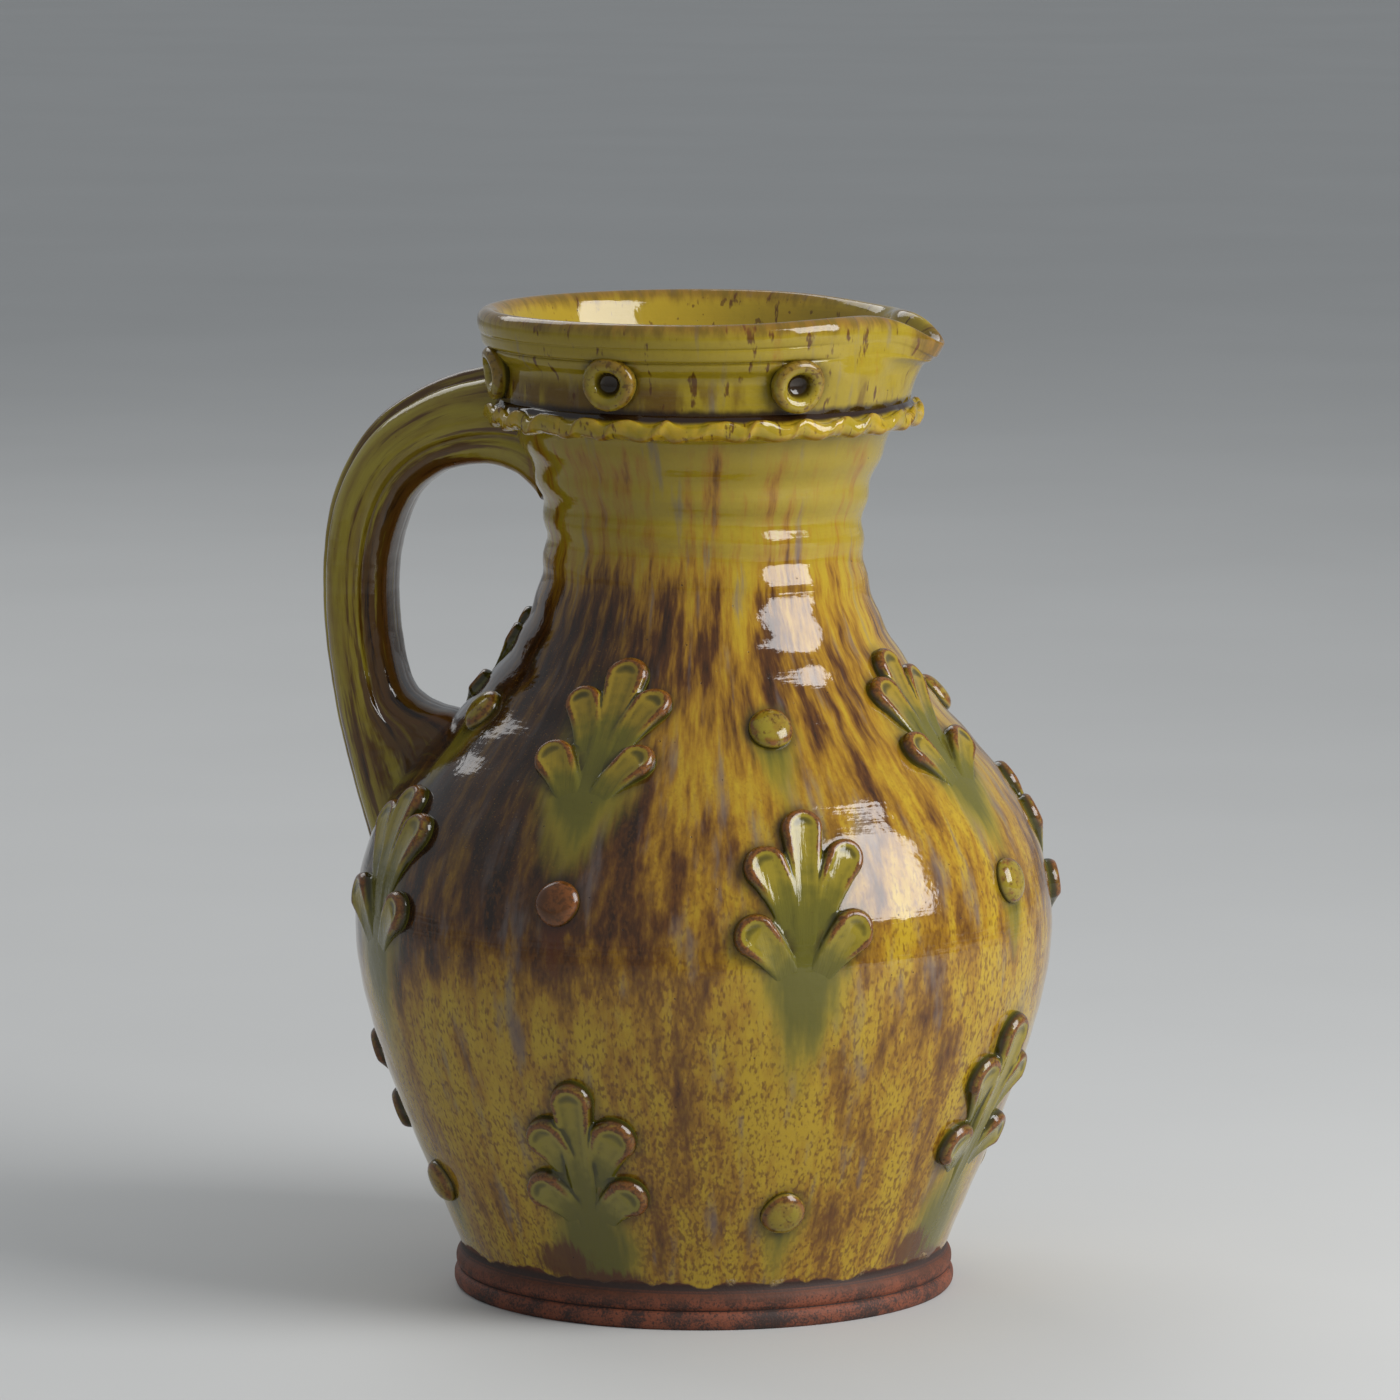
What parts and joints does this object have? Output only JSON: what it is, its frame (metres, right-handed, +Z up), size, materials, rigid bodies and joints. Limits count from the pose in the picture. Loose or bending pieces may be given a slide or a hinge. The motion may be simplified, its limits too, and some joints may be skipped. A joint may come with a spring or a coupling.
{
  "type": "pouring jug",
  "caption": "Round-bellied glazed earthenware pouring jug with a pulled lip, a ribbed strap handle, a frilled cordon and luted leaf sprigs, pellets and ring bosses.",
  "frame": {"origin": "middle of the flat underside of the foot", "axes": "+Z up along the jug's axis, +X towards the pouring lip, handle on the -X side"},
  "size_m": [0.2264, 0.213, 0.3009],
  "materials": {
    "wall_glaze": "glossy honey glaze over slip, streaked brown, bare red clay foot",
    "handle_glaze": "glossy honey glaze breaking brown on the ribs",
    "frill_glaze": "glossy yellow glaze breaking rust on the frilled edge",
    "boss_glaze": "glossy olive glaze pooled in the pressed hollow",
    "leaf_glaze": "glossy olive green glaze breaking rust on the lobes' edges",
    "pellet_glaze": "glossy amber glaze breaking rust on the dome"
  },
  "bodies": {
    "root": {"jug_body": "wall_glaze", "handle": "handle_glaze", "frill_band": "frill_glaze", "ring_boss_1": "boss_glaze", "ring_boss_2": "boss_glaze", "ring_boss_3": "boss_glaze", "ring_boss_4": "boss_glaze", "ring_boss_5": "boss_glaze", "ring_boss_6": "boss_glaze", "leaf_sprig_upper_1": "leaf_glaze", "leaf_sprig_upper_2": "leaf_glaze", "leaf_sprig_upper_3": "leaf_glaze", "leaf_sprig_upper_4": "leaf_glaze", "leaf_sprig_middle_1": "leaf_glaze", "leaf_sprig_middle_2": "leaf_glaze", "leaf_sprig_middle_3": "leaf_glaze", "leaf_sprig_middle_4": "leaf_glaze", "leaf_sprig_lower_1": "leaf_glaze", "leaf_sprig_lower_2": "leaf_glaze", "leaf_sprig_lower_3": "leaf_glaze", "leaf_sprig_lower_4": "leaf_glaze", "pellet_upper_1": "pellet_glaze", "pellet_upper_2": "pellet_glaze", "pellet_upper_3": "pellet_glaze", "pellet_upper_4": "pellet_glaze", "pellet_middle_1": "pellet_glaze", "pellet_middle_2": "pellet_glaze", "pellet_middle_3": "pellet_glaze", "pellet_middle_4": "pellet_glaze", "pellet_lower_1": "pellet_glaze", "pellet_lower_2": "pellet_glaze", "pellet_lower_3": "pellet_glaze", "pellet_lower_4": "pellet_glaze"}
  },
  "joints": []
}
